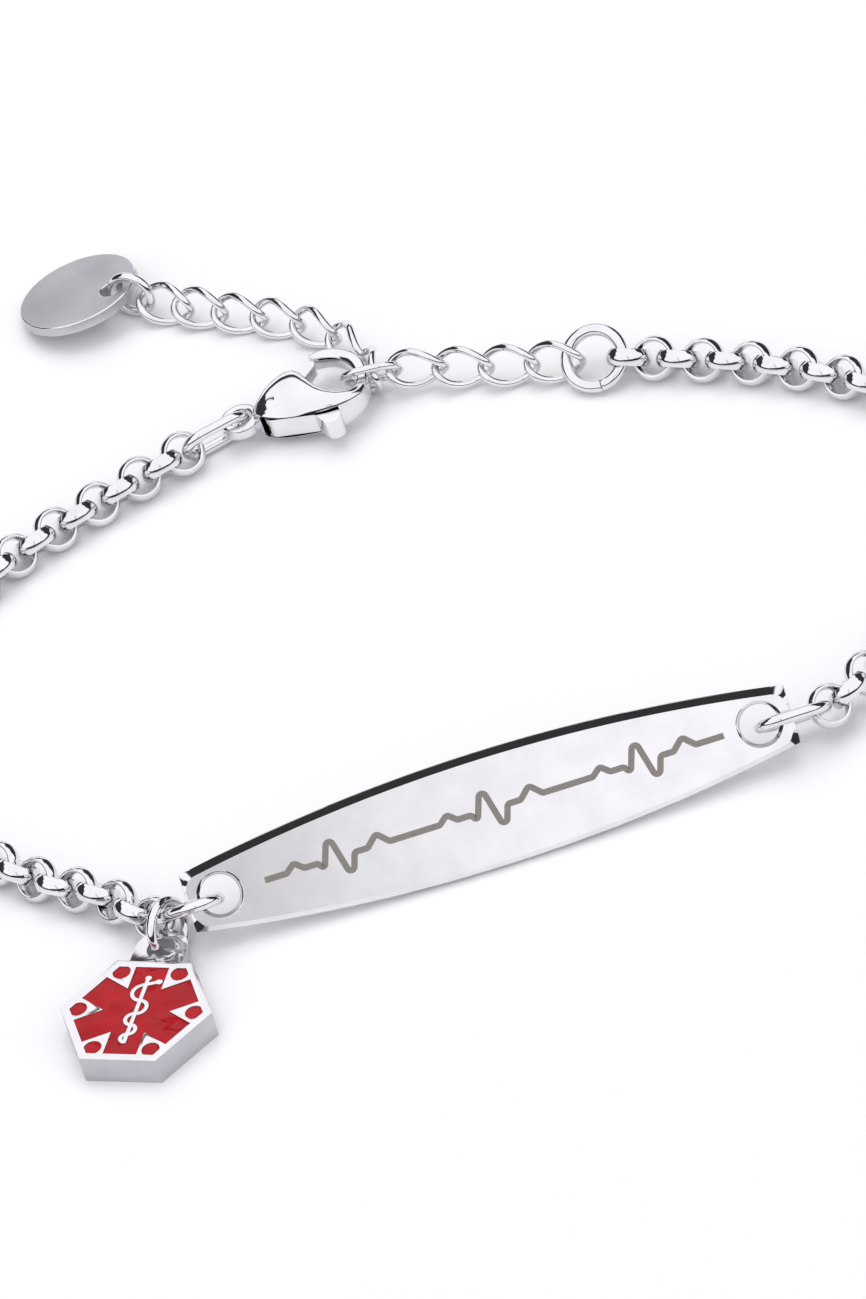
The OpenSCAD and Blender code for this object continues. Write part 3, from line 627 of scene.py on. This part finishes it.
def joined(forms):
    """Several forms, each points and faces, as one."""
    points, faces = [], []
    for form_points, form_faces in forms:
        base = len(points)
        points.extend(form_points)
        faces.extend(tuple(base + k for k in face) for face in form_faces)
    return points, faces


def combined(name, form, cutters, added=()):
    """The mesh of a form with others added and the cutters taken away, all in its own frame."""
    base = helper(name, *form)
    helpers = [base]
    for operation, forms in (("UNION", added), ("DIFFERENCE", cutters)):
        if forms:
            helpers.append(helper(operation, *joined(forms)))
            step = base.modifiers.new(operation, "BOOLEAN")
            step.operation = operation
            step.solver = "EXACT"
            # Needed where the cutters overlap each other
            step.use_self = len(forms) > 2
            step.object = helpers[-1]
    bpy.context.view_layer.update()
    mesh = bpy.data.meshes.new_from_object(base.evaluated_get(bpy.context.evaluated_depsgraph_get()))
    mesh.name = name
    for thing in helpers:
        bpy.data.objects.remove(thing)
    return mesh


def put(mesh, middle, x_axis, z_axis, origin=(0, 0, 0)):
    """Moves a mesh from its own frame in millimetres to its place in metres."""
    points = np.empty(len(mesh.vertices) * 3)
    mesh.vertices.foreach_get("co", points)
    placed = in_frame(points.reshape(-1, 3) - np.array(origin), middle, x_axis, z_axis)
    mesh.vertices.foreach_set("co", placed.ravel())
    mesh.update()


def hole_section(radius, high, low):
    """Outline of a hole's cutter with steep eased lips, as (radius, height), closed along its axis."""
    upper = [(radius + HOLE_LIP * out, high - HOLE_LIP_DEEP * down) for out, down in LIP_CURVE]
    lower = [(r, low + high - z) for r, z in reversed(upper)]
    top, bottom, wide = high + HOLE_CUT_PAST, low - HOLE_CUT_PAST, upper[-1][0] + HOLE_CUT_WIDER
    return [(0, bottom), (wide, bottom)] + lower + upper + [(wide, top), (0, top)]


def turned_solid(section, steps):
    """A closed section from axis to axis, turned about z."""
    angles = 2 * np.pi * np.arange(steps) / steps
    inner = section[1:-1]
    points = [(r * math.cos(a), r * math.sin(a), z) for a in angles for r, z in inner]
    low, high = len(points), len(points) + 1
    points += [(0, 0, section[0][1]), (0, 0, section[-1][1])]
    n = len(inner)
    faces = [(i * n + k, (i + 1) % steps * n + k, (i + 1) % steps * n + k + 1, i * n + k + 1)
             for i in range(steps) for k in range(n - 1)]
    faces += [(low, (i + 1) % steps * n, i * n) for i in range(steps)]
    faces += [(high, i * n + n - 1, (i + 1) % steps * n + n - 1) for i in range(steps)]
    return points, faces


PLATE_FACE = (0, -math.sin(PLATE_LEAN), math.cos(PLATE_LEAN))
# The facets of the bevel meet at shallow angles and still look sharp
SHARP_EDGE = math.radians(13)


def identity_plate():
    """The plate with its two holes, leaning as its solid does."""
    hole_x = PLATE_LEN / 2 - PLATE_HOLE_IN
    section = hole_section(PLATE_HOLE_D / 2, PLATE_T / 2 - crown(hole_x, 0), -PLATE_T / 2)
    hole_points, hole_faces = turned_solid(section, steps=64)
    cutters = [(np.array(hole_points) + (x, 0, 0), hole_faces) for x in (-hole_x, hole_x)]
    mesh = combined("identity_plate", plate_mesh(), cutters)
    put(mesh, plate_middle, (1, 0, 0), PLATE_FACE)
    mesh.shade_smooth()
    mesh.set_sharp_from_angle(angle=SHARP_EDGE)
    return finish_piece("identity_plate", mesh, plate_steel, ["id_plate"])


identity_plate()

# Lobster clasp

# It is cast in one with its eye: smooth sections from rib to rib, squarer on the outer side, then the slot
# for the lever, the end that follows the lever's arc and the pin's hole
CLASP_REACH, CLASP_T, CLASP_HEADING = 8.9, 2.8, math.radians(-10.5)
# The eye's outside, hole and thickness, and how round its rims and its hole's lips are
EYE_OD, EYE_HOLE, EYE_T, EYE_ROUND, EYE_LIP = 2.8, 1.6, 1.0, 0.3, 0.15
# Each rib is x and y of the outer edge and of the inner edge, as shares of the reach, and half the thickness
# as a share of CLASP_T
CLASP_RIBS = [
    (0.112, -0.070, 0.112, 0.070, 0.240), (0.156, -0.110, 0.151, 0.130, 0.360),
    (0.224, -0.150, 0.212, 0.226, 0.450), (0.301, -0.178, 0.291, 0.312, 0.490),
    (0.380, -0.192, 0.370, 0.360, 0.500), (0.458, -0.200, 0.446, 0.350, 0.500),
    (0.536, -0.204, 0.525, 0.242, 0.500), (0.615, -0.206, 0.603, 0.122, 0.490),
    (0.700, -0.200, 0.681, 0.044, 0.470), (0.790, -0.180, 0.760, 0.001, 0.430),
    (0.875, -0.135, 0.828, -0.003, 0.370), (0.945, -0.065, 0.866, 0.033, 0.300),
    (0.988, 0.030, 0.880, 0.105, 0.250), (0.995, 0.135, 0.882, 0.183, 0.228),
    (0.980, 0.260, 0.864, 0.257, 0.225), (0.940, 0.370, 0.828, 0.329, 0.225),
    (0.868, 0.455, 0.776, 0.385, 0.230), (0.771, 0.515, 0.709, 0.425, 0.230),
    (0.676, 0.535, 0.643, 0.442, 0.230), (0.600, 0.527, 0.585, 0.441, 0.225),
    (0.545, 0.506, 0.545, 0.425, 0.215)]
RIB_STEPS, SECTION_SIDES = 6, 56
# Powers that shape a section on its inner and outer side: 1 is an ellipse, and less is squarer
FULLNESS, EDGE_FULLNESS = 0.72, 0.5
# Where the lever's pin is, how far out the lever closes on the hook, and the pin's hole
PIVOT_X, CLOSING_R, PIN_HOLE_D = 0.26 * CLASP_REACH, 0.55 * CLASP_REACH, 0.68
# The slot is wider than the lever by a gap, and is cut for its thin arm and its thick outer strip
SLOT_GAP, ARM_SLOT_T, STRIP_SLOT_T = 0.12, 1.14, 1.74
# The hook's end is cut to the arc of the closing lever, between these angles in degrees, with a cutter whose
# corner lies this far past the pin and at this share of the tip's y
TIP_ARC, TIP_CUT_X, TIP_CUT_SHARE = (49, 78), 0.8, 0.82
# Outline of the lever as bars: (x, y) to (x, y) and half the width, as shares of the reach
ARM_BARS = [((0.26, 0.0), (0.425, 0.24), 0.06), ((0.425, 0.24), (0.5075, 0.3667), 0.052)]
STRIP_BARS = [((0.26, 0.0), (0.26, 0.001), 0.095), ((0.26, 0.0), (0.27, -0.1), 0.06),
              ((0.27, -0.1), (0.64, -0.15), 0.06), ((0.64, -0.15), (0.71, -0.25), 0.075)]
# The slot is cut at each of these turns of the lever, in degrees
LEVER_SWINGS = [0, -9, -18]


def clasp_sections():
    """Rings of the clasp's form from the neck to the tip of the hook, smoothed between the ribs."""
    ribs = np.array(CLASP_RIBS)
    padded = np.vstack([2 * ribs[0] - ribs[1], ribs, 2 * ribs[-1] - ribs[-2]])
    fine = []
    for i in range(1, len(padded) - 2):
        a, b, c, d = padded[i - 1:i + 3]
        for k in range(RIB_STEPS):
            t = k / RIB_STEPS
            fine.append(0.5 * (2 * b + (c - a) * t + (2 * a - 5 * b + 4 * c - d) * t * t
                               + (3 * b - a - 3 * c + d) * t ** 3))
    fine.append(ribs[-1])
    points = []
    for outer_x, outer_y, inner_x, inner_y, half in fine:
        inner = np.array([inner_x, inner_y, 0]) * CLASP_REACH
        out = (np.array([outer_x, outer_y, 0]) * CLASP_REACH - inner) / 2
        for k in range(SECTION_SIDES):
            a = 2 * math.pi * (k + 0.5) / SECTION_SIDES
            power = EDGE_FULLNESS if math.cos(a) > 0 else FULLNESS
            wide, high = (math.copysign(abs(v) ** power, v) for v in (math.cos(a), math.sin(a)))
            points.append(inner + out * (1 + wide) + np.array([0, 0, CLASP_T * half * high]))
    n = SECTION_SIDES
    faces = [(i * n + k, (i + 1) * n + k, (i + 1) * n + (k + 1) % n, i * n + (k + 1) % n)
             for i in range(len(fine) - 1) for k in range(n)]
    faces += [tuple(range(n)), tuple(reversed(range((len(fine) - 1) * n, len(fine) * n)))]
    return np.array(points), [face[::-1] for face in faces]


def upright(outline, height):
    """A flat outline as a solid that stands over z = 0 by half its height either way."""
    n = len(outline)
    points = [(x, y, z) for z in (-height / 2, height / 2) for x, y in outline]
    faces = [(k, (k + 1) % n, n + (k + 1) % n, n + k) for k in range(n)]
    return np.array(points), faces + [tuple(reversed(range(n))), tuple(range(n, 2 * n))]


def rounded_bar(start, end, half_width, height, steps=20):
    """A straight bar with round ends, wider than the lever by the slot's gap."""
    start, end = np.array(start) * CLASP_REACH, np.array(end) * CLASP_REACH
    radius = half_width * CLASP_REACH + SLOT_GAP
    way = math.atan2(*(end - start)[::-1])
    outline = []
    for middle, first in ((end, way - math.pi / 2), (start, way + math.pi / 2)):
        turns = first + math.pi * np.arange(steps + 1) / steps
        outline += [middle + radius * np.array([math.cos(a), math.sin(a)]) for a in turns]
    return upright(outline, height)


def round_post(x, diameter, height, steps=64):
    """A round bar that stands on the clasp's middle line."""
    angles = 2 * np.pi * np.arange(steps) / steps
    radius = diameter / 2
    return upright([(x + radius * math.cos(a), radius * math.sin(a)) for a in angles], height)


def swung(form, angle):
    """A form turned about the lever's pin, by an angle in degrees."""
    points, faces = form
    a = math.radians(angle)
    rel = points - (PIVOT_X, 0, 0)
    turn = np.array([[math.cos(a), math.sin(a), 0], [-math.sin(a), math.cos(a), 0], [0, 0, 1]])
    return rel @ turn + (PIVOT_X, 0, 0), faces


def eye_and_hole(steps=96, ease_steps=6):
    """The eye as a disc with rounded rims, and the cutter of its hole, which rounds the hole's lips."""
    turns = [math.pi / 2 * k / ease_steps for k in range(ease_steps + 1)]
    eased = [(1 - math.cos(a), 1 - math.sin(a)) for a in turns]
    rim = [(EYE_OD / 2 - EYE_ROUND * back, EYE_T / 2 - EYE_ROUND * down) for back, down in eased]
    disc = [(0, -EYE_T / 2)] + [(r, -z) for r, z in reversed(rim)] + rim + [(0, EYE_T / 2)]
    lip = [(EYE_HOLE / 2 + EYE_LIP * back, EYE_T / 2 - EYE_LIP * down) for back, down in eased]
    upper = lip + [(lip[-1][0], EYE_T)]
    cutter = [(0, -EYE_T)] + [(r, -z) for r, z in reversed(upper)] + upper + [(0, EYE_T)]
    return turned_solid(disc, steps), turned_solid(cutter, steps)


def lobster_clasp(arc_steps=30):
    """The clasp's body, put at its joint in the solids."""
    eye, hole = eye_and_hole()
    cutters = [hole, round_post(PIVOT_X, PIN_HOLE_D, 2 * CLASP_T)]
    for bars, height in ((ARM_BARS, ARM_SLOT_T), (STRIP_BARS, STRIP_SLOT_T)):
        cutters += [swung(rounded_bar(*bar, height), angle) for bar in bars for angle in LEVER_SWINGS]
    tip_y = CLASP_RIBS[-1][1] * CLASP_REACH
    arc = [(PIVOT_X + CLOSING_R * math.cos(a), CLOSING_R * math.sin(a))
           for a in np.radians(np.linspace(*TIP_ARC, arc_steps))]
    cutters.append(upright([(PIVOT_X + TIP_CUT_X, TIP_CUT_SHARE * tip_y)] + arc, 2 * CLASP_T))
    mesh = combined("lobster_clasp", clasp_sections(), cutters, added=[eye])
    joint = frame["joints"][0]
    heading = (math.cos(CLASP_HEADING), math.sin(CLASP_HEADING), 0)
    put(mesh, joint["pos_m"], heading, -np.array(joint["axis"]), origin=(PIVOT_X, 0, 0))
    mesh.shade_smooth()
    mesh.set_sharp_from_angle(angle=SHARP_ANGLE)
    piece = finish_piece("lobster_clasp", mesh, cast_steel, ["clasp_body"])
    even = piece.modifiers.new("even_shading", "WEIGHTED_NORMAL")
    even.keep_sharp = True
    return piece


lobster_clasp()

# Etched pulse trace along the face: the (x, y) corners of one beat
BEAT = [(0.0, 0.0), (1.5, 0.0), (2.1, 0.5), (2.7, 0.0), (3.6, 0.0), (3.95, -0.45), (4.7, 1.75),
        (5.55, -1.7), (6.1, 0.0), (7.0, 0.0), (7.75, 0.72), (8.5, 0.0)]
BEATS, BEAT_LEN = 3, 10.4
TRACE_STROKE, TRACE_THICK, TRACE_CORNER = 0.42, 0.012, 0.24
TRACE_START = -15.3


def filleted(corners, radius, steps=8, straight=0.02, most=0.48):
    """An open line with each inner corner rounded by an arc, which takes at most a share of either side;
    corners that turn by less than twice straight stay as they are."""
    line = [np.array(corners[0], float)]
    for last_corner, here, after in zip(corners, corners[1:], corners[2:]):
        here = np.array(here, float)
        back, on = np.array(last_corner) - here, np.array(after) - here
        back_len, on_len = np.linalg.norm(back), np.linalg.norm(on)
        back, on = back / back_len, on / on_len
        half = math.acos(max(-1, min(1, back @ on))) / 2
        if half > math.pi / 2 - straight:
            line.append(here)
            continue
        cut = min(radius / math.tan(half), most * back_len, most * on_len)
        round_r = cut * math.tan(half)
        centre = here + (back + on) / np.linalg.norm(back + on) * math.hypot(cut, round_r)
        start, end = here + back * cut - centre, here + on * cut - centre
        turn = math.atan2(start[0] * end[1] - start[1] * end[0], start @ end)
        for k in range(steps + 1):
            a = turn * k / steps
            line.append(centre + (start[0] * math.cos(a) - start[1] * math.sin(a),
                                  start[0] * math.sin(a) + start[1] * math.cos(a)))
    line.append(np.array(corners[-1], float))
    return np.array(line)


def pulse_trace():
    """A flat line etched on the face, a hair above it so that it shows."""
    corners = []
    for beat in range(BEATS):
        corners.extend((TRACE_START + beat * BEAT_LEN + x, y) for x, y in BEAT)
    corners.append((TRACE_START + BEATS * BEAT_LEN, 0.0))
    line = filleted([c for k, c in enumerate(corners) if k == 0 or c != corners[k - 1]], TRACE_CORNER)
    ahead = np.gradient(line, axis=0)
    ahead /= np.linalg.norm(ahead, axis=1)[:, None]
    side = np.column_stack([-ahead[:, 1], ahead[:, 0]]) * TRACE_STROKE / 2
    points, faces = [], []
    for (x, y), (sx, sy) in zip(line, side):
        for sign in (1, -1):
            px, py = x + sign * sx, y + sign * sy
            top = PLATE_T / 2 - crown(px, py)
            points.extend([(px, py, top + TRACE_THICK / 2), (px, py, top - TRACE_THICK)])
    for k in range(len(line) - 1):
        a, b = 4 * k, 4 * k + 4
        faces.extend([(a, a + 2, b + 2, b), (a + 1, b + 1, b + 3, a + 3), (a, b, b + 1, a + 1),
                      (a + 2, a + 3, b + 3, b + 2)])
    end = 4 * (len(line) - 1)
    faces.extend([(0, 1, 3, 2), (end, end + 2, end + 3, end + 1)])
    placed = in_frame(points, plate_middle, (1, 0, 0), PLATE_FACE)
    trace = make_piece("etched_pulse_trace", placed, faces, trace_steel)
    trace.data.shade_flat()
    return trace


pulse_trace()

# Floor: matt white laminate, which gives the eye a soft even white with faint shadows
floor_material = new_material("matt_white_laminate", Base_Color=linear("f4f4f5"), Roughness=0.6)[0]
FLOOR_HALF = 600 * MM
floor_mesh = bpy.data.meshes.new("floor")
floor_mesh.from_pydata([(-FLOOR_HALF, -FLOOR_HALF, 0), (FLOOR_HALF, -FLOOR_HALF, 0),
                        (FLOOR_HALF, FLOOR_HALF, 0), (-FLOOR_HALF, FLOOR_HALF, 0)], [], [(0, 1, 2, 3)])
floor_mesh.materials.append(floor_material)
add_object("floor", floor_mesh)

# Light

# A white tent stands round the table. Its lower part is open and dark up to a height that changes round it:
# (degrees from the front round to the back, sine of the height), the same on the left and right
TENT_OPENINGS = [(-90, 0.31), (-58, 0.29), (-40, 0.19), (-4, 0.19), (8, 0.62), (30, 0.66), (50, 0.7),
                 (60, 0.62), (70, 0.43), (90, 0.43)]
# Below this sine of the height the opening at the back is closed by light again
TENT_SILLS = [(-90, 0.0), (56, 0.0), (68, 0.3), (90, 0.3)]
# How soft its edges are, and the light of the dark and of the lit part
TENT_SOFT, TENT_DARK, TENT_LIGHT = 0.05, 0.04, 1.2
# A soft fold of the tent's front that shades the plate's left end, as (sideways, light)
FRONT_FOLD = [(-0.25, 1.0), (-0.047, 0.58), (-0.026, 0.62), (-0.012, 0.84), (0.002, 0.97), (0.03, 1.0)]
# How far to the front the fold starts and is full, as the direction's part along Y
FOLD_STARTS, FOLD_FULL = -0.5, -0.7


def white_tent():
    """The world's light, by the way it is seen from the table."""
    world = bpy.data.worlds.new("white_tent")
    world.use_nodes = True
    tree = world.node_tree
    way = add_node(tree, "ShaderNodeTexCoord").outputs["Generated"]
    axes = add_node(tree, "ShaderNodeSeparateXYZ", links=[(way, "Vector")]).outputs
    sideways = add_node(tree, "ShaderNodeMath", {"operation": "ABSOLUTE"},
                        links=[(axes["X"], 0)]).outputs[0]
    turn = add_node(tree, "ShaderNodeMath", {"operation": "ARCTAN2"},
                    links=[(axes["Y"], 0), (sideways, 1)]).outputs[0]
    turn = add_node(tree, "ShaderNodeMapRange",
                    inputs={"From Min": -math.pi / 2, "From Max": math.pi / 2},
                    links=[(turn, "Value")]).outputs["Result"]
    sky = []
    for heights, lit_above in ((TENT_OPENINGS, True), (TENT_SILLS, False)):
        edge = ramp(tree, turn, [((angle + 90) / 180, height) for angle, height in heights])
        more, less = (axes["Z"], edge) if lit_above else (edge, axes["Z"])
        past = add_node(tree, "ShaderNodeMath", {"operation": "SUBTRACT"},
                        links=[(more, 0), (less, 1)]).outputs[0]
        sky.append(add_node(tree, "ShaderNodeMapRange", {"interpolation_type": "SMOOTHSTEP"},
                            {"From Max": TENT_SOFT, "To Min": TENT_DARK, "To Max": TENT_LIGHT},
                            [(past, "Value")]).outputs["Result"])
    lit = add_node(tree, "ShaderNodeMath", {"operation": "MAXIMUM"},
                   links=[(sky[0], 0), (sky[1], 1)]).outputs[0]
    across = add_node(tree, "ShaderNodeMapRange", inputs={"From Min": -1.0, "From Max": 1.0},
                      links=[(axes["X"], "Value")]).outputs["Result"]
    fold = ramp(tree, across, [((place + 1) / 2, light) for place, light in FRONT_FOLD])
    in_front = add_node(tree, "ShaderNodeMapRange", {"interpolation_type": "SMOOTHSTEP"},
                        {"From Min": FOLD_STARTS, "From Max": FOLD_FULL},
                        [(axes["Y"], "Value")]).outputs["Result"]
    fold = add_node(tree, "ShaderNodeMapRange", links=[(in_front, "Value"), (fold, "To Max")],
                    inputs={"To Min": 1.0}).outputs["Result"]
    light = add_node(tree, "ShaderNodeMath", {"operation": "MULTIPLY"},
                     links=[(lit, 0), (fold, 1)]).outputs[0]
    background = tree.nodes["Background"]
    background.inputs["Color"].default_value = linear("fdfcff")
    tree.links.new(light, background.inputs["Strength"])
    bpy.context.scene.world = world


white_tent()


def soft_light(name, azimuth, elevation, distance, size, power):
    """A soft box that no metal mirrors; azimuth runs from +X to +Y, lengths are in metres."""
    data = bpy.data.lights.new(name, "AREA")
    data.size = size
    data.energy = power
    light = add_object(name, data)
    a, e = math.radians(azimuth), math.radians(elevation)
    towards = Vector((math.cos(a) * math.cos(e), math.sin(a) * math.cos(e), math.sin(e)))
    light.location = aim + distance * towards
    light.rotation_euler = towards.to_track_quat("Z", "Y").to_euler()
    light.visible_camera = False
    light.visible_glossy = False
    return light


soft_light("overhead_box", azimuth=90, elevation=75, distance=0.7, size=0.5, power=1.2)

view = bpy.context.scene.view_settings
view.view_transform = "Standard"
